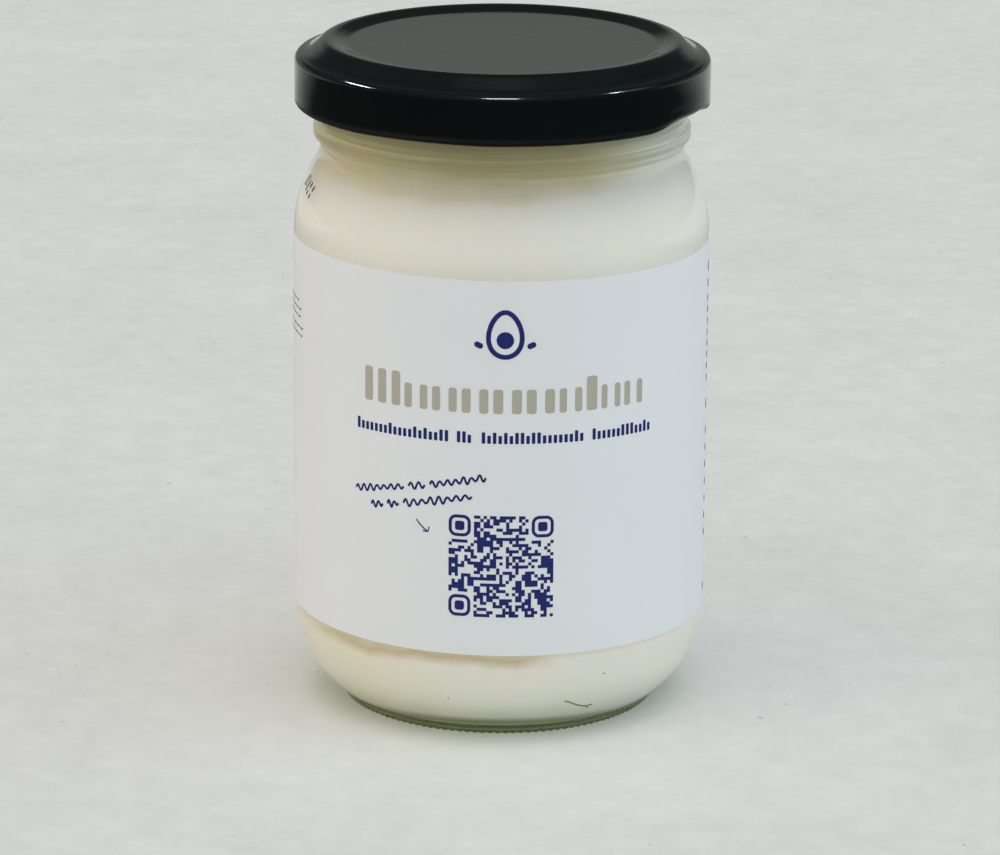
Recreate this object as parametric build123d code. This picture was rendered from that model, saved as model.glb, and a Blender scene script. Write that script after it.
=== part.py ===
from build123d import *
import os
from math import acos, asin, atan2, cos, degrees, sin, sqrt

# A wide-mouth glass food jar with a twist-off metal lid, full of mayonnaise and wrapped in a
# paper label. Millimetres, +Z up, standing on z = 0 with its axis on Z. Its front faces -Y.

# glass body
body_r = 36.7          # outside radius of the straight wall
panel_h = 67.4         # height of the straight wall, where the label sits
wall = 2.5             # thickness of the side, shoulder and neck
heel_round = 19.0      # outside radius of the rounding between wall and foot
bearing_r = 25.7       # outer edge of the ring that the jar stands on
bearing_w = 1.1        # width of that ring
floor_round = 15.5     # inside radius of the rounding between wall and floor
floor_z = 4.2          # height of the lowest point of the inside
floor_rise = 2.8       # how much higher the middle of the floor is
push_step_w = 2.2      # width of the slope that leads from the ring up into the push-up
push_step_h = 1.5      # height of that slope
push_h = 3.1           # height of the push-up at its middle

# shoulder and neck
shoulder_round = 25.0  # outside radius of the shoulder
neck_in = 4.75         # how far the neck lies inside the wall's radius
neck_round = 4.0       # outside radius of the hollow where the shoulder runs into the neck
neck_h = 0.2           # straight part of the neck

# bead under the mouth
bead_proud = 1.35      # how far the bead stands out of the neck
bead_slope_h = 1.7     # height of its sloping underside
bead_h = 1.75          # height from there to its top
bead_round = 0.7       # rounding of its top edge

# mouth, threads and rim
finish_proud = 0.55    # how far the mouth's wall stands out of the neck
finish_h = 14.4        # from the bead's top to the rim
rim_round = 1.2        # rounding of the rim
thread_count = 4       # ridges that the lid's lugs turn under
thread_proud = 1.5     # how far a ridge stands out of the mouth's wall
thread_h = 1.8         # height of a ridge
thread_span = 52.0     # degrees round the mouth that a ridge takes

# contents
headspace = 8.4        # air between the mayonnaise and the rim
fill_gap = 0.0         # the mayonnaise wets the glass

# lid
sheet = 0.3            # thickness of the metal
lid_h = 11.5           # overall height of the lid
curl_d = 2.0           # thickness of the curled lower edge
curl_gap = 0.5         # from that curl to the threads
seal_gap = 0.2         # from the rim to the metal above it
panel_drop = 0.8       # how far the middle panel lies below the raised ring
panel_in = 2.15        # from the inside of the mouth to the panel's edge
ring_slope_w = 2.7     # width of the slope from the panel up to the ring
ring_in = 0.2          # from the outside of the mouth's wall to the ring's outer edge
step_w = 1.3           # width of the slope outside the ring
step_drop = 2.4        # height of that slope
lid_fall = 0.3         # how much the flat outside it falls to the lid's corner
slope_round = 4.0      # rounding at both ends of the slope inside the ring
ring_round = 1.0       # rounding of the ring's outer edge
step_round = 0.8       # rounding at the foot of the slope outside the ring
corner_round = 1.35    # rounding of the lid's corner
lug_h = 1.3            # height of a lug
lug_span = 13.0        # degrees round the lid that a lug takes
lug_clear = 0.4        # from a lug's tip to the mouth's wall
lug_gap = 0.05         # from a lug's top to the thread above it
lug_angle = -27.0      # direction of the first lug, in degrees from +X towards +Y
notch_in = 0.9         # how far the curl is pushed in at a lug
notch_h = 1.1          # height of that notch

# label
paper = 0.12           # thickness of the paper
label_inset = 0.25     # from each end of the straight wall to the label's edge
label_gap = 6.0        # gap between the label's ends, at the back

# what follows from the driving sizes
neck_r = body_r - neck_in
mouth_r = neck_r - wall
inner_r = body_r - wall
bead_r = neck_r + bead_proud
finish_r = neck_r + finish_proud
thread_r = finish_r + thread_proud
lid_r = thread_r + curl_gap + curl_d
panel_r = mouth_r - panel_in
ring_r = finish_r - ring_in
heel_x = body_r - heel_round
heel_z = sqrt(heel_round**2 - (bearing_r - heel_x) ** 2)
shoulder_x = body_r - shoulder_round
shoulder_z = heel_z + panel_h
neck_x = neck_r + neck_round
neck_rise = sqrt((shoulder_round + neck_round) ** 2 - (neck_x - shoulder_x) ** 2)
neck_z = shoulder_z + neck_rise
shoulder_sweep = degrees(atan2(neck_rise, neck_x - shoulder_x))
bead_low_z = neck_z + neck_h + bead_slope_h
bead_top_z = bead_low_z + bead_h
rim_z = bead_top_z + finish_h
level_z = rim_z - headspace
ring_z = rim_z + seal_gap + sheet
lid_z = ring_z - lid_h
lug_z = lid_z + 0.5 * (curl_d - lug_h)
thread_z = lug_z + lug_h + lug_gap


def arc(x, z, radius, start, end):
    """A round stretch of an outline about (x, z), between two angles in degrees."""
    return CenterArc((x, z), radius, start, end - start)


def spin(edges, angle=360.0):
    """The solid that a closed outline in radius and height makes when it turns about Z."""
    return revolve(Plane.XZ * make_face(edges), Axis.Z, angle)


def ring_sector(inner, outer, z, height, middle, span):
    """A block that follows the wall from one radius to another over part of the way round."""
    edges = Polyline((inner, z), (outer, z), (outer, z + height), (inner, z + height), close=True)
    return Rot(Z=middle - span / 2) * spin(edges, span)


def round_places():
    """The directions of the lugs and of the threads that they hold."""
    return [lug_angle + 360.0 * number / thread_count for number in range(thread_count)]


def dome(edge_x, edge_z, top_z):
    """A shallow round cap from its edge to its highest point, on the axis."""
    rise = top_z - edge_z
    radius = (edge_x**2 + rise**2) / (2 * rise)
    return arc(0.0, top_z - radius, radius, degrees(acos(edge_x / radius)), 90.0)


def foot_outline():
    """The underside: the push-up, the slope down from it and the ring that meets the surface."""
    foot_in = bearing_r - bearing_w
    step_in = foot_in - push_step_w
    slope = Polyline((step_in, push_step_h), (foot_in, 0.0), (bearing_r, 0.0))
    return dome(step_in, push_step_h, push_h) + slope


def outside_outline():
    """The outside of the glass from the foot to the bead's top."""
    heel = arc(heel_x, heel_z, heel_round, -degrees(asin(heel_z / heel_round)), 0.0)
    side = Line((body_r, heel_z), (body_r, shoulder_z))
    shoulder = arc(shoulder_x, shoulder_z, shoulder_round, 0.0, shoulder_sweep)
    hollow = arc(neck_x, neck_z, neck_round, 180.0 + shoulder_sweep, 180.0)
    bead = Polyline(
        (neck_r, neck_z),
        (neck_r, neck_z + neck_h),
        (bead_r, bead_low_z),
        (bead_r, bead_top_z - bead_round),
    )
    bead_edge = arc(bead_r - bead_round, bead_top_z - bead_round, bead_round, 0.0, 90.0)
    return heel + side + shoulder + hollow + bead + bead_edge


def mouth_outline():
    """The outside of the mouth from the bead's top, and over the rim."""
    edge_z = rim_z - rim_round
    wall_up = Polyline((bead_r - bead_round, bead_top_z), (finish_r, bead_top_z), (finish_r, edge_z))
    outer_edge = arc(finish_r - rim_round, edge_z, rim_round, 0.0, 90.0)
    top = Line((finish_r - rim_round, rim_z), (mouth_r + rim_round, rim_z))
    inner_edge = arc(mouth_r + rim_round, edge_z, rim_round, 90.0, 180.0)
    return wall_up + outer_edge + top + inner_edge


def inside_outline(top_z, gap=0.0):
    """The inside of the glass from a height in the mouth down to the middle of the floor."""
    floor_x = inner_r - floor_round
    turn_z = floor_z + floor_round
    mouth = Line((mouth_r - gap, top_z), (mouth_r - gap, neck_z))
    hollow = arc(neck_x, neck_z, neck_round + wall + gap, 180.0, 180.0 + shoulder_sweep)
    shoulder = arc(shoulder_x, shoulder_z, shoulder_round - wall - gap, shoulder_sweep, 0.0)
    side = Line((inner_r - gap, shoulder_z), (inner_r - gap, turn_z))
    turn = arc(floor_x, turn_z, floor_round - gap, 0.0, -90.0)
    floor = dome(floor_x, floor_z + gap, floor_z + floor_rise + gap)
    return mouth + hollow + shoulder + side + turn + floor


def make_threads():
    """The ridges on the mouth that the lid's lugs turn under."""
    base_r = finish_r - thread_proud / 2
    return [ring_sector(base_r, thread_r, thread_z, thread_h, place, thread_span) for place in round_places()]


def make_glass_jar():
    """The hollow glass body, with its threads."""
    axis_line = Line((0.0, floor_z + floor_rise), (0.0, push_h))
    inside = inside_outline(rim_z - rim_round)
    body = spin(foot_outline() + outside_outline() + mouth_outline() + inside + axis_line)
    for ridge in make_threads():
        body += ridge
    return body


def make_mayonnaise():
    """The contents, which follow the inside of the glass up to their level."""
    low_z = floor_z + floor_rise + fill_gap
    surface = Polyline((0.0, low_z), (0.0, level_z), (mouth_r - fill_gap, level_z))
    return spin(inside_outline(level_z, fill_gap) + surface)


def lid_corners():
    """The corners of the lid's outline from its middle to its lower edge, with their roundings."""
    return [
        (0.0, ring_z - panel_drop, 0.0),
        (panel_r, ring_z - panel_drop, slope_round),
        (panel_r + ring_slope_w, ring_z, slope_round),
        (ring_r, ring_z, ring_round),
        (ring_r + step_w, ring_z - step_drop, step_round),
        (lid_r, ring_z - step_drop - lid_fall, corner_round),
        (lid_r, lid_z + curl_d / 2, 0.0),
    ]


def inward(corners, depth):
    """The same outline moved in by the metal's thickness, with its roundings to suit."""
    headings = []
    for here, ahead in zip(corners, corners[1:]):
        headings.append(atan2(ahead[1] - here[1], ahead[0] - here[0]))
    moved = []
    for number, (x, z, rounding) in enumerate(corners):
        before = headings[max(number - 1, 0)]
        after = headings[min(number, len(headings) - 1)]
        middle = (before + after) / 2
        reach = depth / cos((after - before) / 2)
        turn = 1 if after < before else -1
        moved.append((x + reach * sin(middle), z - reach * cos(middle), rounding and rounding - turn * depth))
    return moved


def rounded_path(corners):
    """A line through the corners, rounded at all but its ends."""
    return FilletPolyline(*[(x, z) for x, z, _ in corners], radius=[corner[2] for corner in corners[1:-1]])


def make_lid():
    """The pressed metal lid: panel, raised ring, skirt, curled edge and the lugs pressed into it."""
    outer = lid_corners()
    inner = inward(outer, sheet)
    ends = Line(outer[-1][:2], inner[-1][:2]) + Line(outer[0][:2], inner[0][:2])
    lid = spin(rounded_path(outer) + rounded_path(inner) + ends)
    curl_x = lid_r - curl_d / 2
    curl_z = lid_z + curl_d / 2
    lid += Pos(0, 0, curl_z) * Torus(curl_x, curl_d / 2)
    lug_in = finish_r + lug_clear
    for place in round_places():
        lid -= ring_sector(lid_r - notch_in, lid_r + 1.0, lid_z - 1.0, 1.0 + notch_h, place, lug_span)
        lid += ring_sector(lug_in, lid_r - notch_in, lug_z, lug_h, place, lug_span)
    return lid


def make_label():
    """The paper round the straight wall, with its two ends a little apart at the back."""
    low_z = heel_z + label_inset
    height = panel_h - 2 * label_inset
    gap_angle = degrees(label_gap / body_r)
    return ring_sector(body_r, body_r + paper, low_z, height, -90.0, 360.0 - gap_angle)


parts = {
    "glass_jar": make_glass_jar(),
    "mayonnaise": make_mayonnaise(),
    "lid": make_lid(),
    "label": make_label(),
}

os.makedirs("parts", exist_ok=True)
for name, shape in parts.items():
    export_step(shape, f"parts/{name}.step")
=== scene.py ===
import math
import random

import bpy
import numpy as np
from mathutils import Matrix, Vector


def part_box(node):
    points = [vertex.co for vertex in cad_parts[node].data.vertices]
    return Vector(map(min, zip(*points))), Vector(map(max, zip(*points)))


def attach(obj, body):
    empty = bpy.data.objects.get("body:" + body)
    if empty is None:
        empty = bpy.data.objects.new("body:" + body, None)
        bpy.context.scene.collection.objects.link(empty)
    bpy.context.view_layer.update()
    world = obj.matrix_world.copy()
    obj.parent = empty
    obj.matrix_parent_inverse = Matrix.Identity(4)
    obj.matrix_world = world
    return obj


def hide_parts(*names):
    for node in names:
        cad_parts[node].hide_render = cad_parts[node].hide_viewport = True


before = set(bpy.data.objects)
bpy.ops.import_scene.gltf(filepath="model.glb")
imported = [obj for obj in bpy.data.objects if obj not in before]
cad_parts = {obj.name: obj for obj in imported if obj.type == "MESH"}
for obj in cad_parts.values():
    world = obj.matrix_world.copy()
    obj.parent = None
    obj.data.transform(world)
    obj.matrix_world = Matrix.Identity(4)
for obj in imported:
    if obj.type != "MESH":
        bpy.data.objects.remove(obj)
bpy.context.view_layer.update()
mm = 0.001

# sizes that every piece shares, read from the frame
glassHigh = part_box("glass_jar")[1]
lidLow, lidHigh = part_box("lid")
labelLow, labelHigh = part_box("label")
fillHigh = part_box("mayonnaise")[1]
bodyR = glassHigh[0]
lidR = lidHigh[0]


class Value:
    # a socket that takes part in sums, each of which adds a Math node
    def __init__(self, nodes, socket):
        self.nodes = nodes
        self.socket = socket

    def work(self, operation, *others):
        inputs = {0: self}
        for place, other in enumerate(others, 1):
            inputs[place] = other
        made = self.nodes.add("ShaderNodeMath", {"operation": operation}, inputs)
        return Value(self.nodes, made.outputs[0])

    def back(self, operation, other):
        made = self.nodes.add("ShaderNodeMath", {"operation": operation}, {0: other, 1: self})
        return Value(self.nodes, made.outputs[0])

    def __add__(self, other):
        return self.work("ADD", other)

    def __radd__(self, other):
        return self.back("ADD", other)

    def __sub__(self, other):
        return self.work("SUBTRACT", other)

    def __rsub__(self, other):
        return self.back("SUBTRACT", other)

    def __mul__(self, other):
        return self.work("MULTIPLY", other)

    def __rmul__(self, other):
        return self.back("MULTIPLY", other)

    def __pow__(self, other):
        return self.work("POWER", other)

    def clamped(self):
        return self.work("MINIMUM", 1.0).work("MAXIMUM", 0.0)

    def near(self, middle, steepness):
        # 1 where the value is middle, falling to 0 on both sides
        return (1 - (self - middle).work("ABSOLUTE") * steepness).clamped()


class Nodes:
    # adds nodes to one material or world
    def __init__(self, owner):
        owner.use_nodes = True
        self.tree = owner.node_tree
        self.tree.nodes.clear()

    def add(self, kind, settings=None, sockets=None):
        made = self.tree.nodes.new(kind)
        for name, setting in (settings or {}).items():
            setattr(made, name, setting)
        for name, given in (sockets or {}).items():
            self.feed(made.inputs[name], given)
        return made

    def feed(self, socket, given):
        if isinstance(given, Value):
            given = given.socket
        if isinstance(given, bpy.types.NodeSocket):
            self.tree.links.new(given, socket)
        elif socket.type == "RGBA" and len(given) == 3:
            socket.default_value = (*given, 1.0)
        else:
            socket.default_value = given

    def value(self, kind, settings=None, sockets=None, output=0):
        return Value(self, self.add(kind, settings, sockets).outputs[output])

    def place(self):
        return self.add("ShaderNodeTexCoord").outputs["Object"]

    def parts(self):
        split = self.add("ShaderNodeSeparateXYZ", None, {0: self.place()})
        return [Value(self, out) for out in split.outputs]

    def noise(self, scale, detail=2.0, roughness=0.5, where=None):
        inputs = {"Vector": where or self.place(), "Scale": scale, "Detail": detail, "Roughness": roughness}
        return self.value("ShaderNodeTexNoise", None, inputs, "Fac")

    def stretched(self, scale):
        inputs = {"Vector": self.place(), "Scale": scale}
        return self.add("ShaderNodeMapping", None, inputs).outputs[0]

    def blend(self, factor, first, second):
        # a colour Mix node's factor, two colours and result have these places
        return self.add("ShaderNodeMix", {"data_type": "RGBA"}, {0: factor, 6: first, 7: second}).outputs[2]

    def bump(self, height, strength, distance):
        inputs = {"Height": height, "Strength": strength, "Distance": distance}
        return self.add("ShaderNodeBump", None, inputs).outputs[0]

    def mix(self, factor, first, second):
        sockets = {0: factor, 1: first.outputs[0], 2: second.outputs[0]}
        return self.add("ShaderNodeMixShader", None, sockets)

    def surface(self, shader, volume=None):
        out = self.add("ShaderNodeOutputMaterial", None, {"Surface": shader})
        if volume is not None:
            self.feed(out.inputs["Volume"], volume)


def newMaterial(name):
    material = bpy.data.materials.new(name)
    return material, Nodes(material)


def arcPoints(x, z, radius, start, end, steps):
    angles = [math.radians(start + (end - start) * i / steps) for i in range(steps + 1)]
    return [(x + radius * math.cos(a), z + radius * math.sin(a)) for a in angles]


def roundedPath(corners, steps=6):
    # corners are (radius, height, rounding); the ends stay sharp
    path = [corners[0][:2]]
    for before, here, after in zip(corners, corners[1:], corners[2:]):
        corner = Vector(here[:2])
        toBefore = (Vector(before[:2]) - corner).normalized()
        toAfter = (Vector(after[:2]) - corner).normalized()
        if here[2] == 0:
            path.append(tuple(corner))
            continue
        half = toBefore.angle(toAfter) / 2
        centre = corner + (toBefore + toAfter).normalized() * here[2] / math.sin(half)
        reach = here[2] / math.tan(half)
        first = corner + toBefore * reach - centre
        last = corner + toAfter * reach - centre
        sweep = first.angle_signed(last)
        for i in range(steps + 1):
            turned = Matrix.Rotation(-sweep * i / steps, 2) @ first
            path.append(tuple(centre + turned))
    path.append(corners[-1][:2])
    return path


def joinPaths(*paths):
    joined = []
    for path in paths:
        for point in path:
            if not joined or math.dist(point, joined[-1]) > 1e-4:
                joined.append(point)
    return joined


def meshPiece(name, points, faces, material, node=None, crease=None):
    mesh = bpy.data.meshes.new(name)
    mesh.from_pydata(points, [], faces)
    mesh.materials.append(material)
    mesh.shade_smooth()
    if crease:
        mesh.set_sharp_from_angle(angle=math.radians(crease))
    piece = bpy.data.objects.new(name, mesh)
    bpy.context.scene.collection.objects.link(piece)
    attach(piece, "root")
    if node:
        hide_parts(node)
    return piece


def lathe(outline, turns, shape=None):
    # the outline runs in mm from the axis back to the axis with the solid on its left
    ring = np.array(outline[1:-1])
    angles = np.arange(turns) * 2 * math.pi / turns
    a, r = np.meshgrid(angles, ring[:, 0], indexing="ij")
    z = np.broadcast_to(ring[:, 1], a.shape)
    if shape:
        r, z = shape(a, r, z)
    points = np.stack([r * np.cos(a), r * np.sin(a), z], axis=2).reshape(-1, 3) * mm
    count = len(ring)
    poles = [(0, 0, outline[0][1] * mm), (0, 0, outline[-1][1] * mm)]
    first = turns * count
    faces = []
    for i in range(turns):
        here, ahead = i * count, (i + 1) % turns * count
        faces.append((first, ahead, here))
        for j in range(count - 1):
            faces.append((here + j, ahead + j, ahead + j + 1, here + j + 1))
        faces.append((here + count - 1, ahead + count - 1, first + 1))
    return [tuple(p) for p in points.tolist()] + poles, faces


def fade(x, low, high):
    t = np.clip((x - low) / (high - low), 0.0, 1.0)
    return t * t * (3 - 2 * t)


camera = {"distance": 889.1, "height": 301.7, "pitch": 15.914, "roll": 0.435, "lens": 186.27}


def makeCamera():
    data = bpy.data.cameras.new("camera")
    data.lens = camera["lens"]
    data.sensor_width = 36.0
    data.clip_start = 0.02
    holder = bpy.data.objects.new("camera", data)
    holder.location = (0, -camera["distance"] * mm, camera["height"] * mm)
    tilt = Matrix.Rotation(math.radians(90 - camera["pitch"]), 4, "X")
    holder.rotation_euler = (tilt @ Matrix.Rotation(math.radians(camera["roll"]), 4, "Z")).to_euler()
    bpy.context.scene.collection.objects.link(holder)
    bpy.context.scene.camera = holder


makeCamera()
print("camera set")


glass = {
    "turns": 512,  # four to a knurl
    "wall": 2.5,
    "heelRound": 19.0, "footR": 28.0, "bearingR": 25.7, "bearingW": 1.1,
    "stepW": 2.2, "stepH": 1.5, "pushH": 3.1,
    "floorRound": 15.5, "floorZ": 4.2, "floorRise": 2.8,
    "labelGap": 0.25, "shoulderRound": 25.0, "neckIn": 4.75, "neckRound": 4.0, "neckH": 0.2,
    "beadProud": 1.35, "beadSlopeH": 1.7, "beadH": 1.75,
    "finishProud": 0.55, "rimRound": 1.2,
    "knurls": 128, "knurlDepth": 0.2, "knurlH": 2.4, "ripple": 0.04, "ripplePitch": 1.15, "waviness": 0.03,
    "color": (0.965, 0.985, 0.965), "tint": (0.70, 0.86, 0.50), "density": 18.0, "pass": (1.0, 1.0, 1.0),
}


def glassPlan():
    # heights and radii of the glass in mm, from its settings and the frame's box
    g = dict(glass)
    r = bodyR / mm
    g["bodyR"] = r
    g["neckR"] = r - g["neckIn"]
    g["innerR"] = r - g["wall"]
    g["mouthR"] = g["neckR"] - g["wall"]
    g["beadR"] = g["neckR"] + g["beadProud"]
    g["finishR"] = g["neckR"] + g["finishProud"]
    g["heelX"] = r - g["heelRound"]
    g["heelZ"] = math.sqrt(g["heelRound"] ** 2 - (g["bearingR"] - g["heelX"]) ** 2)
    g["shoulderZ"] = labelHigh[2] / mm + g["labelGap"]
    g["shoulderX"] = r - g["shoulderRound"]
    g["neckX"] = g["neckR"] + g["neckRound"]
    run = g["neckX"] - g["shoulderX"]
    rise = math.sqrt((g["shoulderRound"] + g["neckRound"]) ** 2 - run ** 2)
    g["sweep"] = math.degrees(math.atan2(rise, run))
    g["neckZ"] = g["shoulderZ"] + rise
    g["beadLowZ"] = g["neckZ"] + g["neckH"] + g["beadSlopeH"]
    g["beadTopZ"] = g["beadLowZ"] + g["beadH"]
    g["rimZ"] = glassHigh[2] / mm
    return g


plan = glassPlan()


def subdivided(path, step):
    # the same path with no stretch longer than step
    dense = [path[0]]
    for before, after in zip(path, path[1:]):
        parts = max(1, math.ceil(math.dist(before, after) / step))
        for i in range(1, parts + 1):
            dense.append(tuple(b + (a - b) * i / parts for b, a in zip(before, after)))
    return dense


def domePoints(edgeX, edgeZ, topZ, steps):
    # a shallow dome from its middle out to its edge
    rise = topZ - edgeZ
    radius = (edgeX ** 2 + rise ** 2) / (2 * rise)
    edge = math.degrees(math.acos(edgeX / radius))
    return arcPoints(0, topZ - radius, radius, 90, edge, steps)


def insidePath(grow, topZ, steps):
    # the inside of the glass, from the middle of the floor up, moved into the wall by grow
    g = plan
    floorX = g["innerR"] - g["floorRound"]
    turnZ = g["floorZ"] + g["floorRound"]
    floor = domePoints(floorX, g["floorZ"] - grow, g["floorZ"] + g["floorRise"] - grow, steps)
    turn = arcPoints(floorX, turnZ, g["floorRound"] + grow, -90, 0, 2 * steps)
    bend = g["shoulderRound"] - g["wall"] + grow
    shoulder = arcPoints(g["shoulderX"], g["shoulderZ"], bend, 0, g["sweep"], 2 * steps)
    hollowRound = g["neckRound"] + g["wall"] - grow
    hollow = arcPoints(g["neckX"], g["neckZ"], hollowRound, 180 + g["sweep"], 180, steps)
    return joinPaths(floor, turn, shoulder, hollow, [(g["mouthR"] + grow, topZ)])


def glassOutline():
    g = plan
    footIn = g["bearingR"] - g["bearingW"]
    heelStart = -math.degrees(math.acos((g["footR"] - g["heelX"]) / g["heelRound"]))
    heel = arcPoints(g["heelX"], g["heelZ"], g["heelRound"], heelStart, 0, 26)
    foot = domePoints(footIn - g["stepW"], g["stepH"], g["pushH"], 8)
    ring = roundedPath([(footIn - g["stepW"], g["stepH"], 0), (footIn - 0.3, 0.15, 0), (footIn, 0, 0),
                        (g["bearingR"], 0, 0), (g["footR"], 0, 0.45), heel[0]])
    shoulder = arcPoints(g["shoulderX"], g["shoulderZ"], g["shoulderRound"], 0, g["sweep"], 16)
    hollow = arcPoints(g["neckX"], g["neckZ"], g["neckRound"], 180 + g["sweep"], 180, 8)
    bead = roundedPath([
        (g["neckR"], g["neckZ"], 0),
        (g["neckR"], g["neckZ"] + g["neckH"] + 0.1, 0.8),
        (g["beadR"], g["beadLowZ"], 0.6),
        (g["beadR"], g["beadTopZ"], 0.6),
        (g["finishR"], g["beadTopZ"] + 0.25, 0.3),
        (g["finishR"], g["rimZ"] - g["rimRound"], 0),
    ])
    rim = arcPoints(g["finishR"] - g["rimRound"], g["rimZ"] - g["rimRound"], g["rimRound"], 0, 90, 5)
    lip = arcPoints(g["mouthR"] + g["rimRound"], g["rimZ"] - g["rimRound"], g["rimRound"], 90, 180, 5)
    inside = insidePath(0.0, g["rimZ"] - g["rimRound"], 7)[::-1]
    return joinPaths(foot, ring, heel, shoulder, hollow, subdivided(bead, 0.4), rim, lip, inside)


def shapeGlass(a, r, z):
    g = plan
    # bearing knurls: grooves between small bars round the foot and up its side
    groove = 0.5 - 0.5 * np.cos(a * g["knurls"])
    under = fade(r, g["bearingR"] - 1.6, g["bearingR"] - 0.6) * (1 - fade(z, 0.2, 0.9)) * (z < 0.9)
    low = z < g["knurlH"]
    side = fade(r, g["footR"] - 0.5, g["footR"]) * (1 - fade(z, 0.9, g["knurlH"])) * low
    z = z + g["knurlDepth"] * under * groove
    r = r - g["knurlDepth"] * 0.4 * side * groove
    # the slow unevenness of moulded glass, on every wall as wide as the mouth's outside or wider
    wide = (z > g["knurlH"]) & (r > g["finishR"] - 0.05)
    swell = np.sin(3 * a + z * 0.21) + 0.8 * np.sin(5 * a - z * 0.33 + 1.7)
    swell = swell + 0.5 * np.sin(9 * a + z * 0.6 + 0.4)
    most = 2.3  # what the three waves add up to
    r = r + np.where(wide, g["waviness"] * swell / most - g["waviness"], 0.0)
    # faint ripples round the bead and the mouth above it
    upper = wide * fade(z, g["neckZ"] + 0.3, g["neckZ"] + 1.2)
    upper = upper * (1 - fade(z, g["rimZ"] - 3.0, g["rimZ"] - 2.0))
    ripple = np.sin(2 * math.pi * z / g["ripplePitch"] + 1.3 * np.sin(2 * a + 0.6))
    return r + g["ripple"] * upper * (ripple - 1), z


def glassMaterial():
    material, n = newMaterial("clear glass")
    smear = n.noise(180.0, 4.0, 0.6)
    roll = n.noise(90.0, 2.0, 0.5)
    clear = n.add("ShaderNodeBsdfPrincipled", None, {
        "Base Color": glass["color"],
        "Roughness": ((smear - 0.45) * 0.12).clamped(),
        "IOR": 1.52,
        "Transmission Weight": 1.0,
        "Normal": n.bump(roll, 0.08, 0.0004),
    })
    soak = n.add("ShaderNodeVolumeAbsorption", None, {"Color": glass["tint"], "Density": glass["density"]})
    # light on its way to the contents passes straight through
    rays = n.add("ShaderNodeLightPath")
    empty = n.add("ShaderNodeBsdfTransparent", None, {"Color": glass["pass"]})
    inner = n.mix(rays.outputs["Is Diffuse Ray"], clear, empty)
    n.surface(n.mix(rays.outputs["Is Shadow Ray"], inner, empty).outputs[0], soak.outputs[0])
    return material


glassPoints, glassFaces = lathe(glassOutline(), glass["turns"], shapeGlass)
glassBody = meshPiece("glass_body", glassPoints, glassFaces, glassMaterial(), "glass_jar")
print("glass made", len(glassFaces))


fill = {
    "turns": 256, "intoWall": 0.15,
    # heights and radii in mm where the colour changes
    "neckZ": 95.5, "shadeStreakZ": 97.0, "lowLeftYellowZ": 24.0, "edgeZ": 17.2, "smearAndShadowZ": 16.3, "underZ": 5.3,
    "paleR": 21.5,
    "cream": (0.95, 0.875, 0.845), "thick": (0.975, 0.90, 0.88),
    "shade": (0.66, 0.61, 0.37), "warm": (0.84, 0.76, 0.48), "cool": (0.93, 0.93, 0.90),
    "dark": (0.50, 0.44, 0.24), "lowLeftYellow": (0.84, 0.77, 0.61), "edge": (0.68, 0.64, 0.51),
    "tan": (0.64, 0.53, 0.33), "under": (0.35, 0.385, 0.16), "pale": (0.75, 0.76, 0.55),
}


def fillOutline():
    level = fillHigh[2] / mm
    side = insidePath(fill["intoWall"], level, 8)
    return joinPaths(side, [(0.0, level)])


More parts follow.
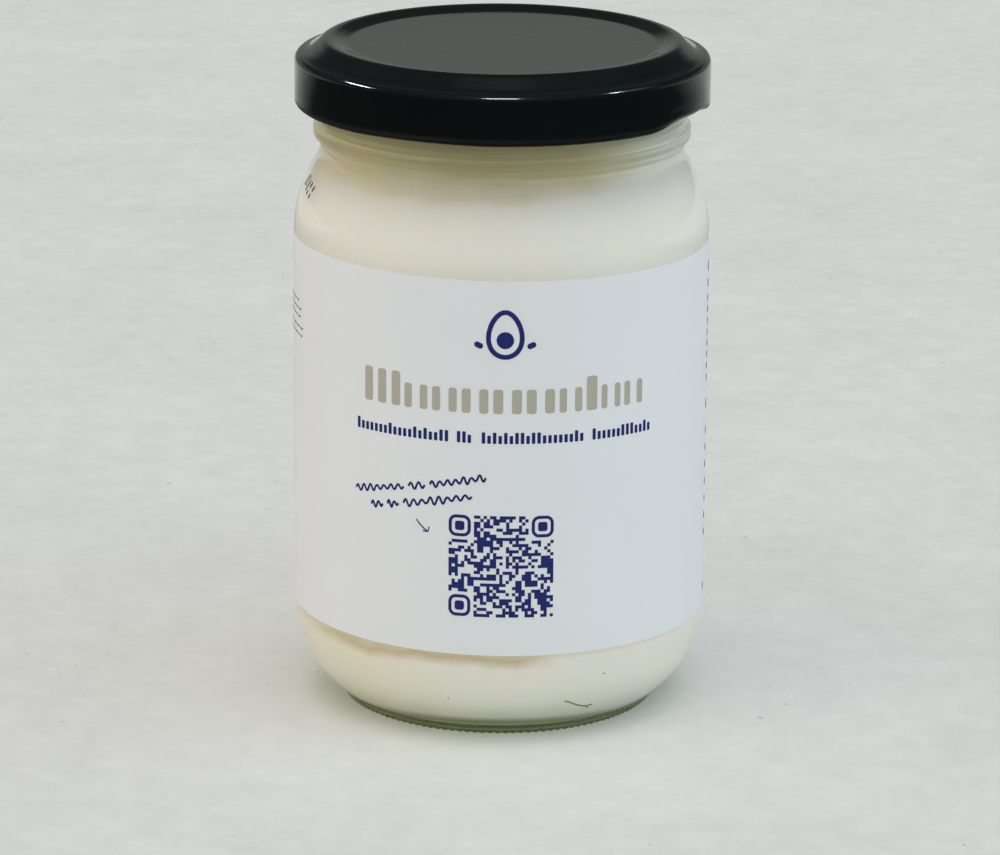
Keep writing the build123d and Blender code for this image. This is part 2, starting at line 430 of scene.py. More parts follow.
def fillMaterial():
    material, n = newMaterial("mayonnaise")
    x, y, z = n.parts()
    cream = n.blend(n.noise(60.0, 3.0, 0.55), fill["cream"], fill["thick"])
    # painted shade: under the lid the neck is painted darker and more yellow, with an uneven lower edge that
    # hangs lowest near the middle
    smear = n.noise(32.0, 3.0, 0.6, n.stretched((1.0, 1.0, 2.5)))
    hang = x.near(0.004, 80.0) * 0.0005
    neckShadeMask = ((z + (smear - 0.5) * 0.012 + hang - fill["neckZ"] * mm) * 170.0).clamped()
    # the painted shade is warmer at the left, paler at the right, and has darker painted streaks of shade at
    # the top
    left = ((-0.010 - x) * 70.0).clamped()
    right = ((x - 0.012) * 70.0).clamped()
    shade = n.blend(right, n.blend(left, fill["shade"], fill["warm"]), fill["cool"])
    shadeStreakNoise = n.noise(45.0, 4.0, 0.65, n.stretched((0.25, 0.25, 14.0)))
    shadeStreaks = ((shadeStreakNoise - 0.42) * 5.0).clamped() * ((z - fill["shadeStreakZ"] * mm) * 300.0).clamped()
    upper = n.blend(neckShadeMask, cream, n.blend(shadeStreaks * 0.6, shade, fill["dark"]))
    # the lower left is a little more yellow, and the edge under the label is darker: a painted shadow of the
    # label's lower edge
    lowLeftYellow = ((-0.006 - x) * 60.0).clamped() * ((fill["lowLeftYellowZ"] * mm - z) * 150.0).clamped()
    edge = z.near(fill["edgeZ"] * mm, 700.0)
    edged = n.blend(edge * 0.8, n.blend(lowLeftYellow * 0.5, upper, fill["lowLeftYellow"]), fill["edge"])
    # an uneven tan band lies along that edge, at the front and mostly at the left: partly a smear of
    # residue, partly a painted shadow of the label
    wander = (n.noise(70.0, 3.0, 0.65) - 0.5) * 0.0040
    front = ((0.010 - x) * 150.0).clamped() * ((x + 0.033) * 150.0).clamped() * ((0.0 - y) * 200.0).clamped()
    smeared = n.blend((z + wander).near(fill["smearAndShadowZ"] * mm, 560.0) * front * 0.9, edged, fill["tan"])
    # the underside is painted dark green, the green of the thick glass together with painted shade under the
    # jar, with a paler ring
    reach = (x * x + y * y).work("SQRT")
    below = n.blend(reach.near(fill["paleR"] * mm, 1200.0) * 0.8, fill["under"], fill["pale"])
    tone = n.blend(((fill["underZ"] * mm - z) * 1400.0).clamped(), smeared, below)
    body = n.add("ShaderNodeBsdfPrincipled", None, {
        "Base Color": tone,
        "Roughness": 0.35,
        "Specular IOR Level": 0.1,
        "Subsurface Weight": 0.8,
        "Subsurface Radius": (0.006, 0.0048, 0.003),
        "Subsurface Scale": 0.4,
        "Normal": n.bump(n.noise(400.0, 2.0, 0.5), 0.1, 0.0003),
    })
    n.surface(body.outputs[0])
    return material


fillPoints, fillFaces = lathe(fillOutline(), fill["turns"])
meshPiece("mayonnaise_fill", fillPoints, fillFaces, fillMaterial(), "mayonnaise")
print("mayonnaise made", len(fillFaces))


lid = {
    "turns": 512,
    "sheet": 0.25, "curlD": 2.0, "panelDrop": 0.8, "panelR": 27.3, "slopeW": 2.7, "ringR": 31.5,
    "stepW": 2.9, "stepDrop": 2.4, "fall": 0.3,
    "slopeRound": 4.0, "ringRound": 2.2, "stepRound": 3.5, "cornerRound": 1.1,
    # the first lug is pressed in fully, the others by lugShare of it
    "lugs": 4, "lugAngle": -25.0, "lugSpan": 36.0, "lugIn": 0.1, "lugUp": 1.1, "lugShare": 0.12,
    # the third colour, with the height below it, is painted shade on the dull lower edge
    "black": (0.0014, 0.0022, 0.0022), "smeared": (0.0030, 0.0040, 0.0040), "shadedEdge": (0.0020, 0.0026, 0.0026),
    "shadedEdgeH": 1.2,
}


def lidCorners(depth):
    # the lid's outline from its middle to the curl, moved into the metal by depth
    top = lidHigh[2] / mm
    skirt = lidR / mm
    corners = [
        (0.0, top - lid["panelDrop"], 0.0),
        (lid["panelR"], top - lid["panelDrop"], lid["slopeRound"]),
        (lid["panelR"] + lid["slopeW"], top, lid["slopeRound"]),
        (lid["ringR"], top, lid["ringRound"]),
        (lid["ringR"] + lid["stepW"], top - lid["stepDrop"], lid["stepRound"]),
        (skirt, top - lid["stepDrop"] - lid["fall"], lid["cornerRound"]),
        (skirt, lidLow[2] / mm + lid["curlD"] / 2, 0.0),
    ]
    if depth == 0:
        return corners
    headings = [math.atan2(b[1] - a[1], b[0] - a[0]) for a, b in zip(corners, corners[1:])]
    moved = []
    for number, (x, z, rounding) in enumerate(corners):
        before = headings[max(number - 1, 0)]
        after = headings[min(number, len(headings) - 1)]
        middle = (before + after) / 2
        reach = depth / math.cos((after - before) / 2)
        turn = 1 if after < before else -1
        inner = max(0.05, rounding - turn * depth) if rounding else 0.0
        moved.append((x + reach * math.sin(middle), z - reach * math.cos(middle), inner))
    return moved


def lidOutline():
    radius = lid["curlD"] / 2
    x = lidR / mm - radius
    z = lidLow[2] / mm + radius
    inner = roundedPath(lidCorners(lid["sheet"]), 8)
    curlInner = arcPoints(x, z, radius - lid["sheet"], 0, -270, 18)
    curlOuter = arcPoints(x, z, radius, -270, 0, 22)
    outer = roundedPath(lidCorners(0.0), 10)[::-1]
    # spare points down the skirt let the lugs bend it
    spare = [(lidR / mm, z + h) for h in (0.5, 1.0, 1.6, 2.3)]
    spareInner = [(lidR / mm - lid["sheet"], z + h) for h in (2.3, 1.6, 1.0, 0.5)]
    return joinPaths(inner[:-1], spareInner, curlInner, curlOuter, spare, outer[1:])


def shapeLid(a, r, z):
    low = lidLow[2] / mm
    press = np.zeros_like(a)
    for number in range(lid["lugs"]):
        middle = math.radians(lid["lugAngle"] + number * 360 / lid["lugs"])
        away = np.abs((a - middle + math.pi) % (2 * math.pi) - math.pi)
        half = math.radians(lid["lugSpan"] / 2)
        share = lid["lugShare"] if number else 1.0
        press = np.maximum(press, share * (1 - fade(away, half * 0.3, half * 1.15)))
    pressed = press * (1 - fade(z, low + 1.4, low + 5.0)) * (r > 30)
    return r - lid["lugIn"] * pressed, z + lid["lugUp"] * pressed


def lidMaterial():
    material, n = newMaterial("black enamel")
    smear = n.noise(45.0, 4.0, 0.6)
    peel = n.noise(900.0, 2.0, 0.5)
    # painted shade: the lower edge is made duller and barely shiny, so the curl shows dark instead of the
    # bright shoulder below
    shadedEdge = ((lidLow[2] + lid["shadedEdgeH"] * mm - n.parts()[2]) * 2500.0).clamped()
    coat = n.add("ShaderNodeBsdfPrincipled", None, {
        "Base Color": n.blend(smear, lid["black"], lid["smeared"]),
        "Roughness": 0.05 + smear * 0.08,
        "IOR": 1.5,
        "Normal": n.bump(peel, 0.06, 0.0002),
    })
    dull = n.add("ShaderNodeBsdfPrincipled", None, {
        "Base Color": lid["shadedEdge"],
        "Roughness": 0.6,
        "Specular IOR Level": 0.1,
    })
    n.surface(n.mix(shadedEdge, coat, dull).outputs[0])
    return material


enamel = lidMaterial()
lidPoints, lidFaces = lathe(lidOutline(), lid["turns"], shapeLid)
lidShell = meshPiece("lid_shell", lidPoints, lidFaces, enamel, "lid")


dust = {"count": 14, "seed": 4, "small": 0.04, "large": 0.12, "color": (0.42, 0.41, 0.38)}


def dustMesh():
    # tiny uneven crumbs lying on the lid's panel
    dice = random.Random(dust["seed"])
    points, faces = [], []
    top = lidHigh[2] / mm
    for _ in range(dust["count"]):
        reach = lid["panelR"] * 0.93 * math.sqrt(dice.random())
        turn = dice.uniform(0, 2 * math.pi)
        size = dice.uniform(dust["small"], dust["large"]) * (1.6 if dice.random() < 0.12 else 1.0)
        x, y = reach * math.cos(turn), reach * math.sin(turn)
        start = len(points)
        ring = 6
        for wide, high in ((0.0, 0.5), (0.8, 0.25), (0.9, -0.1), (0.0, -0.4)):
            z = top - lid["panelDrop"] + size * 0.25 + high * size
            if wide == 0.0:
                points.append((x, y, z))
                continue
            for i in range(ring):
                a = 2 * math.pi * i / ring
                swell = size * wide * dice.uniform(0.6, 1.1)
                points.append((x + swell * math.cos(a), y + swell * math.sin(a), z))
        last = start + 2 * ring + 1
        for i in range(ring):
            j = (i + 1) % ring
            faces.append((start, start + 1 + i, start + 1 + j))
            faces.append((start + 1 + i, start + 1 + ring + i, start + 1 + ring + j, start + 1 + j))
            faces.append((start + 1 + ring + i, last, start + 1 + ring + j))
    return [(x * mm, y * mm, z * mm) for x, y, z in points], faces


def plainMaterial(name, color, roughness):
    material, n = newMaterial(name)
    tone = n.blend(n.noise(900.0), tuple(c * 0.8 for c in color), color)
    coat = n.add("ShaderNodeBsdfPrincipled", None, {"Base Color": tone, "Roughness": roughness})
    n.surface(coat.outputs[0])
    return material


dustPoints, dustFaces = dustMesh()
meshPiece("lid_dust", dustPoints, dustFaces, plainMaterial("dust", dust["color"], 0.9))
print("lid made", len(lidFaces))


label = {
    "paper": 0.12, "gap": 6.0, "tilt": -0.55, "columns": 360, "rows": 30, "lift": 0.012,
    "dull": (0.79, 0.815, 0.86), "white": (0.825, 0.85, 0.89), "veil": (0.92, 0.92, 0.92),
}


def onLabel(s, z, out=0.0):
    # a point of the label in metres: s mm round from the front, z mm up, out mm off the paper
    r = bodyR / mm + label["paper"] + out
    a = s / (bodyR / mm + label["paper"])
    tilt = math.tan(math.radians(label["tilt"])) * math.sin(a) * bodyR / mm
    return (r * math.sin(a) * mm, -r * math.cos(a) * mm, (z + tilt) * mm)


def labelMesh():
    r = bodyR / mm + label["paper"]
    half = math.pi * r - label["gap"] / 2
    low, high = labelLow[2] / mm, labelHigh[2] / mm
    columns, rows = label["columns"], label["rows"]
    points = []
    for out in (0.0, label["lift"] - label["paper"]):
        for i in range(columns + 1):
            for j in range(rows + 1):
                points.append(onLabel(-half + 2 * half * i / columns, low + (high - low) * j / rows, out))
    back = (columns + 1) * (rows + 1)
    faces = []

    def at(i, j, side=0):
        return side * back + i * (rows + 1) + j

    for i in range(columns):
        for j in range(rows):
            faces.append((at(i, j), at(i + 1, j), at(i + 1, j + 1), at(i, j + 1)))
            faces.append((at(i, j, 1), at(i, j + 1, 1), at(i + 1, j + 1, 1), at(i + 1, j, 1)))
        faces.append((at(i, 0), at(i, 0, 1), at(i + 1, 0, 1), at(i + 1, 0)))
        faces.append((at(i, rows), at(i + 1, rows), at(i + 1, rows, 1), at(i, rows, 1)))
    for j in range(rows):
        faces.append((at(0, j), at(0, j + 1), at(0, j + 1, 1), at(0, j, 1)))
        faces.append((at(columns, j), at(columns, j, 1), at(columns, j + 1, 1), at(columns, j + 1)))
    return points, faces


def paperMaterial():
    material, n = newMaterial("white paper")
    fibre = n.noise(1400.0, 4.0, 0.65)
    cloud = n.noise(35.0, 2.0, 0.5)
    sheet = n.add("ShaderNodeBsdfPrincipled", None, {
        "Base Color": n.blend(cloud, label["dull"], label["white"]),
        "Roughness": 0.5 + fibre * 0.15,
        "IOR": 1.45,
        "Normal": n.bump(fibre, 0.12, 0.0001),
    })
    # light on its way to the mayonnaise behind passes through, as thin paper glows
    rays = n.add("ShaderNodeLightPath")
    veil = n.add("ShaderNodeBsdfTransparent", None, {"Color": label["veil"]})
    inner = n.mix(rays.outputs["Is Diffuse Ray"], sheet, veil)
    n.surface(n.mix(rays.outputs["Is Shadow Ray"], inner, veil).outputs[0])
    return material


labelPoints, labelFaces = labelMesh()
meshPiece("label_sheet", labelPoints, labelFaces, paperMaterial(), "label", crease=35)
print("label made")


ink = {"proud": 0.035, "sink": 0.03, "navy": (0.011, 0.019, 0.135), "beige": (0.40, 0.385, 0.325)}


def inkMaterial(name, color):
    material, n = newMaterial(name)
    speckle = n.noise(2500.0, 3.0, 0.6)
    paler = tuple(min(1.0, c * 1.25 + 0.01) for c in color)
    layer = n.add("ShaderNodeBsdfPrincipled", None, {
        "Base Color": n.blend(speckle, color, paler),
        "Roughness": 0.5 + speckle * 0.1,
        "Specular IOR Level": 0.1,
    })
    n.surface(layer.outputs[0])
    return material


class Print:
    # flat shapes in label millimetres that become one thin raised piece on the paper
    def __init__(self, place=onLabel):
        self.points = []
        self.faces = []
        self.place = place

    def strip(self, lower, upper):
        # two matching rows of (s, z) points become a closed thin plate between them
        start = len(self.points)
        count = len(lower)
        for out in (ink["proud"], -ink["sink"]):
            for row in (lower, upper):
                self.points += [self.place(s, z, out) for s, z in row]

        def at(row, i, side):
            return start + (2 * side + row) * count + i

        for i in range(count - 1):
            self.faces.append((at(0, i, 0), at(0, i + 1, 0), at(1, i + 1, 0), at(1, i, 0)))
            self.faces.append((at(0, i, 1), at(1, i, 1), at(1, i + 1, 1), at(0, i + 1, 1)))
            self.faces.append((at(0, i, 0), at(0, i, 1), at(0, i + 1, 1), at(0, i + 1, 0)))
            self.faces.append((at(1, i, 0), at(1, i + 1, 0), at(1, i + 1, 1), at(1, i, 1)))
        self.faces.append((at(0, 0, 0), at(1, 0, 0), at(1, 0, 1), at(0, 0, 1)))
        last = count - 1
        self.faces.append((at(0, last, 0), at(0, last, 1), at(1, last, 1), at(1, last, 0)))

    def bar(self, s, z, width, height, slant=0.0):
        # a bar with round ends, leaning up by slant degrees
        radius = min(height, width) / 2
        steps = 6
        across = [-width / 2 + radius * (1 - math.cos(math.pi / 2 * i / steps)) for i in range(steps + 1)]
        rise = [radius * math.sin(math.pi / 2 * i / steps) for i in range(steps + 1)]
        middle = max(1, int((width - 2 * radius) / 1.2))
        flat = [-width / 2 + radius + (width - 2 * radius) * i / middle for i in range(1, middle)]
        xs = across + flat + [-x for x in across[::-1]]
        hs = rise + [radius] * len(flat) + rise[::-1]
        turn = math.radians(slant)
        cx, cy = math.cos(turn), math.sin(turn)
        lower = [(s + x * cx + h * cy, z + x * cy - h * cx) for x, h in zip(xs, hs)]
        upper = [(s + x * cx - h * cy, z + x * cy + h * cx) for x, h in zip(xs, hs)]
        spare = height / 2 - radius
        self.strip([(x, y - spare) for x, y in lower], [(x, y + spare) for x, y in upper])

    def block(self, s, z, width, height, radius):
        # an upright plate with rounded corners
        steps = 4
        across = [radius * (1 - math.cos(math.pi / 2 * i / steps)) for i in range(steps + 1)]
        rise = [height / 2 - radius + radius * math.sin(math.pi / 2 * i / steps) for i in range(steps + 1)]
        xs = [-width / 2 + x for x in across] + [width / 2 - x for x in across[::-1]]
        hs = rise + rise[::-1]
        self.strip([(s + x, z - h) for x, h in zip(xs, hs)], [(s + x, z + h) for x, h in zip(xs, hs)])

    def box(self, s, z, width, height):
        steps = max(1, math.ceil(width / 1.2))
        row = [s + width * i / steps for i in range(steps + 1)]
        self.strip([(x, z) for x in row], [(x, z + height) for x in row])

    def stroke(self, route, width):
        # a line of even width along a list of (s, z) points
        left, right = [], []
        closed = math.dist(route[0], route[-1]) < 1e-6
        count = len(route)
        for i, (x, y) in enumerate(route):
            before = route[i - 1] if i else (route[-2] if closed else route[0])
            after = route[i + 1] if i + 1 < count else (route[1] if closed else route[-1])
            heading = math.atan2(after[1] - before[1], after[0] - before[0])
            nx, ny = -math.sin(heading) * width / 2, math.cos(heading) * width / 2
            left.append((x + nx, y + ny))
            right.append((x - nx, y - ny))
        self.strip(right, left)

    def make(self, name, material, slot="label_paper"):
        return meshPiece(name, self.points, self.faces, material, crease=35)


# the print's places and sizes in mm, round from the front and up
emblem = {
    "middle": (0.8, 75.1), "width": 5.7, "height": 7.9, "line": 0.85,
    "yolk": 3.0, "yolkDown": 1.0,
    "seedOut": 4.55, "seedDown": 1.9, "seedW": 1.6, "seedH": 1.0, "seedLean": 25,
}
headline = {
    "left": -25.2, "right": 26.8, "base": 61.1, "low": 4.3, "tall": 6.1, "round": 0.45, "space": 0.75,
    "blocks": [3, 2, 2, 2, 2, 2, 2, 1, 2, 2],
    "widths": [7.3, 4.3, 4.4, 4.6, 4.9, 4.9, 4.1, 2.0, 3.8, 4.0],
}
tagline = {
    "groups": [(-27.1, -8.8), (-7.6, -4.8), (-3.3, 14.9), (16.3, 28.9)],
    "base": 55.75, "low": 1.45, "tall": 2.0, "tallShare": 0.28, "pitch": 0.95, "width": 0.6, "round": 0.14,
    "seed": 5,
}
wave = {
    "width": 0.38, "height": 0.55, "pitch": 1.5, "climb": 0.195, "seed": 12,
    "rows": [
        (50.1, [(-27.3, -17.2), (-16.2, -13.2), (-12.2, -2.4)]),
        (47.1, [(-23.8, -21.4), (-20.4, -18.2), (-17.2, -4.8)]),
    ],
}
arrow = {"tail": (-14.7, 41.2), "head": [(-12.35, 40.1), (-12.56, 39.2), (-13.5, 39.25)], "width": 0.22}
code = {"left": -8.8, "top": 42.8, "size": 18.3, "cells": 33, "ringCells": 7, "seed": 7}
sides = {
    "left": -55.6, "right": -47.2, "top": 73.7, "rows": 5, "pitch": 1.4, "dash": (0.8, 1.9), "space": 0.7,
    "thin": 0.26, "seed": 11, "column": 52.6, "columnW": 0.8,
}


def eggRoute(s, z, width, height, steps=48):
    # an egg outline, blunt end down
    route = []
    for i in range(steps + 1):
        a = 2 * math.pi * i / steps
        narrow = 1 - 0.16 * math.sin(a)
        route.append((s + width / 2 * math.cos(a) * narrow, z + height / 2 * math.sin(a)))
    return route


def printEmblem(navy):
    # an egg with its yolk and a seed on each side
    s, z = emblem["middle"]
    navy.stroke(eggRoute(s, z, emblem["width"], emblem["height"]), emblem["line"])
    navy.bar(s, z - emblem["yolkDown"], emblem["yolk"], emblem["yolk"])
    for side in (-1, 1):
        seedAt = (s + side * emblem["seedOut"], z - emblem["seedDown"])
        navy.bar(*seedAt, emblem["seedW"], emblem["seedH"], side * emblem["seedLean"])


def printHeadline(beige):
    # upright blocks in ten groups of uneven width
    widths = headline["widths"]
    gap = (headline["right"] - headline["left"] - sum(widths)) / (len(widths) - 1)
    s = headline["left"]
    for blocks, width in zip(headline["blocks"], widths):
        height = headline["tall"] if blocks != 2 else headline["low"]
        step = width / blocks
        for block in range(blocks):
            wide = step - (headline["space"] if blocks > 1 else 0.0)
            middle = s + wide / 2 + block * (width - wide) / max(1, blocks - 1)
            beige.block(middle, headline["base"] + height / 2, wide, height, headline["round"])
        s += width + gap


def printTagline(navy):
    # fine upright bars, a few of them taller
    dice = random.Random(tagline["seed"])
    for left, right in tagline["groups"]:
        count = max(2, round((right - left) / tagline["pitch"]))
        step = (right - left) / count
        for number in range(count):
            tall = number == 0 or dice.random() < tagline["tallShare"]
            height = tagline["tall"] if tall else tagline["low"]
            middle = left + (number + 0.5) * step
            navy.block(middle, tagline["base"] + height / 2, tagline["width"], height, tagline["round"])


def printHandLines(navy):
    # two rising lines of small uneven waves
    dice = random.Random(wave["seed"])
    steps = 12
    for base, stretches in wave["rows"]:
        for left, right in stretches:
            count = max(2, round((right - left) / wave["pitch"]))
            swings = [wave["height"] * dice.uniform(0.6, 1.3) for _ in range(count + 1)]
            route = []
            for i in range(count * steps + 1):
                s = left + (right - left) * i / (count * steps)
                swing = swings[i // steps] * math.sin(2 * math.pi * i / steps)
                route.append((s, base + s * wave["climb"] + swing))
            navy.stroke(route, wave["width"])


def printArrow(navy):
    # a small bent arrow towards the pattern of squares
    s, z = arrow["tail"]
    bend = [(s + 0.84 * t * t + 1.3 * t, z - 2.0 * t) for t in [i / 8 for i in range(9)]]
    navy.stroke(bend, arrow["width"])
    navy.stroke(arrow["head"], arrow["width"])


def printCode(navy):
    # a seeded pattern of square cells with three rounded corner marks
    dice = random.Random(code["seed"])
    cell = code["size"] / code["cells"]
    cells, ring = code["cells"], code["ringCells"]
    corners = ((0, 0), (cells - ring, 0), (0, cells - ring))

    def free(column, row):
        for cornerColumn, cornerRow in corners:
            beside = cornerColumn - 1 <= column <= cornerColumn + ring
            if beside and cornerRow - 1 <= row <= cornerRow + ring:
                return False
        return True

    for row in range(cells):
        run = 0
        for column in range(cells + 1):
            on = column < cells and free(column, row) and dice.random() < 0.5
            if on:
                run += 1
            elif run:
                start = code["left"] + (column - run) * cell
                navy.box(start, code["top"] - (row + 1) * cell, run * cell, cell)
                run = 0
    for cornerColumn, cornerRow in corners:
        s = code["left"] + (cornerColumn + ring / 2) * cell
        z = code["top"] - (cornerRow + ring / 2) * cell
        half = (ring - 1) / 2 * cell
        navy.stroke(roundSquare(s, z, half, half * 0.62), cell)
        navy.block(s, z, cell * 3, cell * 3, cell * 0.8)


def roundSquare(s, z, half, radius, steps=6):
    # a square outline with rounded corners, as a closed route
    route = []
    for quarter, (sx, sz) in enumerate(((1, 1), (-1, 1), (-1, -1), (1, -1))):
        cornerS, cornerZ = s + sx * (half - radius), z + sz * (half - radius)
        for i in range(steps + 1):
            a = math.pi / 2 * (quarter + i / steps)
            route.append((cornerS + radius * math.cos(a), cornerZ + radius * math.sin(a)))
    return route + route[:1]


def printSides(navy):
    # small dashes at both sides: a block of short lines at the left, an upright column at the right
    dice = random.Random(sides["seed"])
    for row in range(sides["rows"]):
        s = sides["left"]
        z = sides["top"] - row * sides["pitch"] - (0.5 if row > 2 else 0.0)
        while s < sides["right"] + 0.3 * row:
            width = dice.uniform(*sides["dash"])
            navy.bar(s + width / 2, z, width, sides["thin"])
            s += width + sides["space"]
    column = [(80.0, 1.9), (76.9, 1.6)] + [(74.2 - 2.07 * i, 1.25) for i in range(8)]
    column += [(54.9, 1.7)] + [(50.0 - 3.15 * i, 1.35) for i in range(7)] + [(21.0, 1.4)]
    for z, height in column:
        navy.bar(sides["column"], z, sides["columnW"], height)


def printLabel():
    navy, beige = Print(), Print()
    printEmblem(navy)
    printTagline(navy)
    printHandLines(navy)
    printArrow(navy)
    printCode(navy)
    printSides(navy)
    printHeadline(beige)
    navy.make("print_navy", inkMaterial("navy ink", ink["navy"]))
    beige.make("print_beige", inkMaterial("beige ink", ink["beige"]))


printLabel()
print("print made")


marks = {"ink": (0.012, 0.013, 0.016), "crease": (0.20, 0.20, 0.15), "turn": -74.0, "low": 92.8}


def onShoulder(s, z, out=0.0):
    # a point of the glass shoulder: s mm round from the front, z mm up
    g = plan
    lean = math.asin((z - g["shoulderZ"]) / g["shoulderRound"])
    r = g["shoulderX"] + (g["shoulderRound"] + out) * math.cos(lean)
    a = s / g["bodyR"]
    return (r * math.sin(a) * mm, -r * math.cos(a) * mm, (z + out * math.sin(lean)) * mm)


def onHeel(s, z, out=0.0):
    # a point of the glass heel: s mm round from the front, z mm up
    g = plan
    lean = math.asin((g["heelZ"] - z) / g["heelRound"])
    r = g["heelX"] + (g["heelRound"] + out) * math.cos(lean)
    a = s / g["bodyR"]
    return (r * math.sin(a) * mm, -r * math.cos(a) * mm, (z - out * math.sin(lean)) * mm)


def makeMarks():
    # a few slanted strokes sprayed on the shoulder
    sprayed = Print(onShoulder)
    middle = math.radians(marks["turn"]) * plan["bodyR"]
    strokes = [
        (0.2, [(-3.6, 3.0), (-4.7, 1.0)]),
        (0.2, [(-2.4, 3.0), (-3.5, 1.0)]),
        (0.42, [(-1.2, 2.4), (-2.2, 0.5)]),
        (0.45, [(0.4, 2.3), (-0.1, 1.4)]),
        (0.45, [(-0.5, 0.8), (-0.9, 0.1)]),
        (0.45, [(2.2, 2.0), (1.7, 1.1)]),
        (0.45, [(1.3, 0.5), (0.9, -0.2)]),
    ]
    for width, route in strokes:
        sprayed.stroke([(middle + s, marks["low"] + z) for s, z in route], width)
    sprayed.make("shoulder_marks", plainMaterial("sprayed ink", marks["ink"], 0.5), "glass")
    scratch = Print(onHeel)
    scratch.stroke([(12.8, 7.7), (13.9, 7.3), (15.1, 6.7), (16.5, 6.1), (17.8, 5.8), (19.3, 5.9)], 0.27)
    scratch.stroke([(17.3, 5.9), (18.3, 5.5), (18.8, 5.2)], 0.18)
    scratch.bar(-9.3, 8.5, 0.25, 0.25)
    scratch.bar(19.7, 12.5, 0.5, 0.18)
    scratch.make("heel_mark", plainMaterial("heel mark", marks["crease"], 0.6), "glass")


makeMarks()
print("marks made")


stage = {
    "floor": (0.520, 0.535, 0.530), "pit": (0.16, 0.16, 0.15), "far": (0.03, 0.032, 0.034),
    "dust": (0.2, 0.2, 0.19), "chalk": (0.9, 0.9, 0.9),
    # the second factor paints light on the floor near the jar, lightening its shadow
    "bounce": 1.45, "shadowLift": 1.45, "backdrop": (0.60, 0.615, 0.60), "size": 8.0,
}


def floorMaterial():
    material, n = newMaterial("plaster floor")
    x, y = n.parts()[:2]
    patch = n.noise(20.0, 5.0, 0.65)
    grain = n.noise(130.0, 6.0, 0.75)
    specks = ((n.noise(420.0, 2.0, 0.5) - 0.69) * 12.0).clamped()
    pits = specks * ((n.noise(28.0, 2.0, 0.5) - 0.47) * 8.0).clamped()
    paint = stage["floor"]
    shadowLift = tuple(c * stage["shadowLift"] for c in paint)
    tone = n.blend(patch, tuple(c * 0.90 for c in paint), tuple(c * 1.10 for c in paint))
    low, high = n.blend(0.10, tone, stage["dust"]), n.blend(0.08, tone, stage["chalk"])
    mottled = n.blend(((grain - 0.3) * 2.5).clamped(), low, high)
    # painted light: paler close to the jar, lightening the jar's shadow on the floor
    reach = (x * x + y * y).work("SQRT")
    near = (1 - (reach - 0.03) * 14.0).clamped() ** 2.0
    shadowLifted = n.blend(near * 0.42, mottled, shadowLift)
    pitted = n.blend(pits * 0.5, shadowLifted, stage["pit"])
    board = n.add("ShaderNodeBsdfPrincipled", None, {
        "Base Color": pitted,
        "Roughness": 0.8,
        "Specular IOR Level": 0.2,
        "Normal": n.bump(grain, 0.25, 0.0006),
    })
    # the floor throws more light back than it shows, and away from the jar mirror-like surfaces see it
    # painted dark, a painted dark reflection
    rays = n.add("ShaderNodeLightPath")
    bright = n.add("ShaderNodeBsdfDiffuse", None, {"Color": tuple(c * stage["bounce"] for c in paint)})
    dark = n.add("ShaderNodeBsdfDiffuse", None, {"Color": stage["far"]})
    away = ((reach - 0.15) * 3.0).clamped()
    front = ((0.5 - y - x * 0.12) * 4.0).clamped()
    faded = n.mix(away * front, board, dark)
    thrown = n.mix(rays.outputs["Is Diffuse Ray"], board, bright)
    n.surface(n.mix(rays.outputs["Is Glossy Ray"], thrown, faded).outputs[0])
    return material


def makeFloor():
    mesh = bpy.data.meshes.new("floor")
    half = stage["size"] / 2
    corners = [(-half, -half, 0), (half, -half, 0), (half, half, 0), (-half, half, 0)]
    mesh.from_pydata(corners, [], [(0, 1, 2, 3)])
    mesh.materials.append(floorMaterial())
    floor = bpy.data.objects.new("floor", mesh)
    bpy.context.scene.collection.objects.link(floor)


# lamps that glint along the lid's corner: across and tall are their sizes in metres
lamps = {
    "distance": 1.4, "aimZ": 0.115,
    "front": {
        "azimuth": -0.8, "elevation": 57.0, "across": 0.35, "tall": 0.18,
        "power": 9.0, "color": (0.85, 1.0, 1.05), "lights": [lidShell],
    },
    "left": {
        "azimuth": -108.0, "elevation": 42.0, "across": 0.5, "tall": 0.08,
        "power": 10.0, "color": (1.0, 0.98, 0.98), "lights": [lidShell, glassBody],
    },
    "right": {
        "azimuth": 81.5, "elevation": 46.0, "across": 0.12, "tall": 0.12,
        "power": 3.4, "color": (0.75, 0.9, 1.15), "lights": [lidShell, glassBody],
    },
}
room = {
    # wide soft light that falls on the surfaces
    "wash": [
        {"azimuth": 0, "elevation": 90, "focus": 3, "color": (0.87, 0.865, 0.895)},
        {"azimuth": 0, "elevation": 90, "focus": 40, "color": (6.5, 6.0, 6.2)},
        {"azimuth": -60, "elevation": 62, "focus": 8, "color": (1.64, 1.575, 1.15)},
        {"azimuth": 60, "elevation": 62, "focus": 8, "color": (1.50, 1.68, 1.80)},
        {"azimuth": -90, "elevation": 8, "focus": 30, "color": (2.15, 1.43, 1.43)},
        {"azimuth": 90, "elevation": 8, "focus": 30, "color": (1.39, 1.76, 1.96)},
    ],
    # what mirror-like surfaces see of the room
    "shine": [
        {"azimuth": 0, "elevation": 50, "focus": 6, "color": (0.15, 0.17, 0.18)},
        {"azimuth": 95, "elevation": 45, "focus": 60, "color": (0.7, 1.0, 1.8)},
    ],
    "dim": (0.050, 0.053, 0.056),
    "band": (0.275, 0.288, 0.268), "bandTop": 19.5,
}


def aimAt(azimuth, elevation):
    # the direction of a light, with azimuth 0 at the front
    turn, rise = math.radians(azimuth), math.radians(elevation)
    return Vector((math.sin(turn) * math.cos(rise), -math.cos(turn) * math.cos(rise), math.sin(rise)))


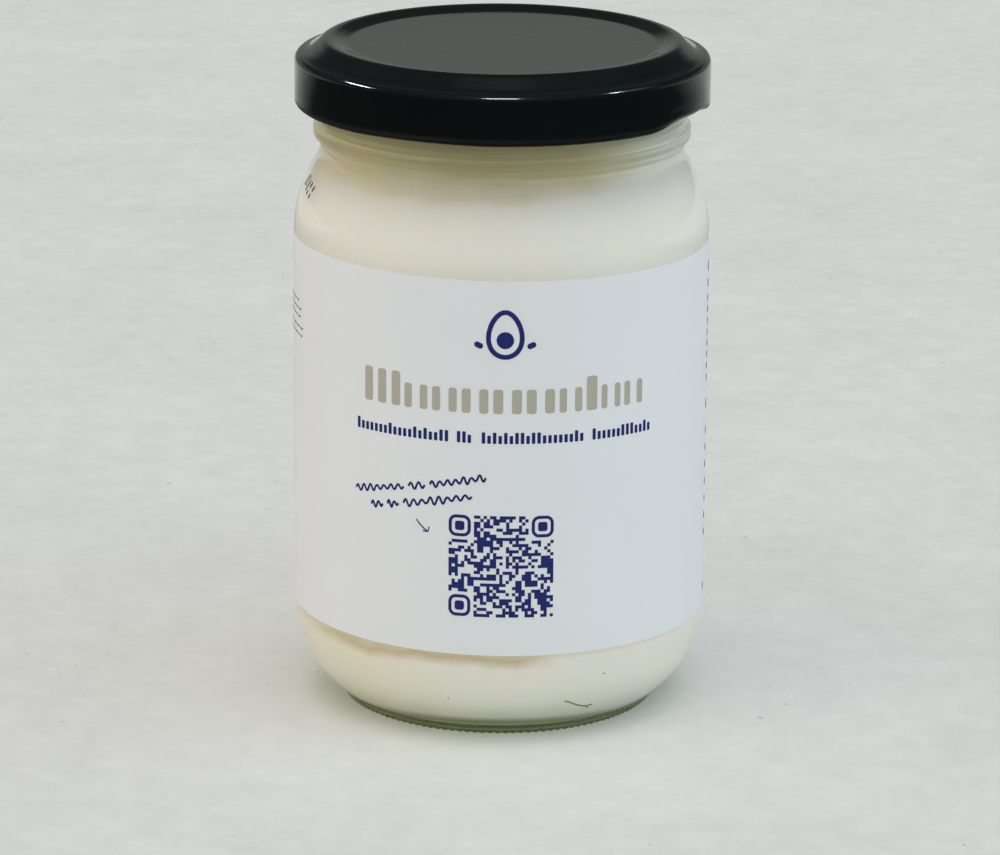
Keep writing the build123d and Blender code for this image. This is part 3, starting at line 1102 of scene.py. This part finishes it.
def makeLamps():
    # each lamp lights nothing but the pieces under its "lights"
    for name in ("front", "left", "right"):
        lamp = lamps[name]
        lit = bpy.data.collections.new(name + " lamp lights")
        for piece in lamp["lights"]:
            lit.objects.link(piece)
        data = bpy.data.lights.new("lamp_" + name, "AREA")
        data.shape = "RECTANGLE"
        data.size = lamp["across"]
        data.size_y = lamp["tall"]
        data.energy = lamp["power"]
        data.color = lamp["color"]
        holder = bpy.data.objects.new("lamp_" + name, data)
        aim = aimAt(lamp["azimuth"], lamp["elevation"])
        holder.location = Vector((0.0, 0.0, lamps["aimZ"])) + aim * lamps["distance"]
        holder.rotation_euler = aim.to_track_quat("Z", "Y").to_euler()
        holder.light_linking.receiver_collection = lit
        bpy.context.scene.collection.objects.link(holder)


def glows(n, direction, lobes, base):
    # adds soft round lights to a plain background
    total = n.add("ShaderNodeBackground", None, {"Color": base, "Strength": 1.0})
    for lobe in lobes:
        inputs = {0: direction, 1: tuple(aimAt(lobe["azimuth"], lobe["elevation"]))}
        facing = n.value("ShaderNodeVectorMath", {"operation": "DOT_PRODUCT"}, inputs, "Value")
        strength = facing.work("MAXIMUM", 0.0) ** lobe["focus"]
        glow = n.add("ShaderNodeBackground", None, {"Color": lobe["color"], "Strength": strength})
        total = n.add("ShaderNodeAddShader", None, {0: total.outputs[0], 1: glow.outputs[0]})
    return total


def makeWorld():
    world = bpy.data.worlds.new("room")
    bpy.context.scene.world = world
    n = Nodes(world)
    rays = n.add("ShaderNodeLightPath")
    direction = n.add("ShaderNodeTexCoord").outputs["Generated"]
    split = n.add("ShaderNodeSeparateXYZ", None, {0: direction})
    depth, height = Value(n, split.outputs[1]), Value(n, split.outputs[2])
    wash = glows(n, direction, room["wash"], (0.0, 0.0, 0.0))
    # a pale wall stands low behind the jar
    low = ((math.sin(math.radians(room["bandTop"])) - height) * 8.0).clamped()
    band = low * ((depth + 0.1) * 3.0).clamped()
    shine = glows(n, direction, room["shine"], n.blend(band, room["dim"], room["band"]))
    pale = n.add("ShaderNodeBackground", None, {"Color": stage["backdrop"], "Strength": 1.0})
    lit = n.mix(rays.outputs["Is Glossy Ray"], wash, shine)
    through = n.mix(rays.outputs["Is Transmission Ray"], lit, pale)
    whole = n.mix(rays.outputs["Is Camera Ray"], through, pale)
    n.add("ShaderNodeOutputWorld", None, {"Surface": whole.outputs[0]})


makeFloor()
makeLamps()
makeWorld()
bpy.context.scene.view_settings.view_transform = "Standard"
print("stage set")
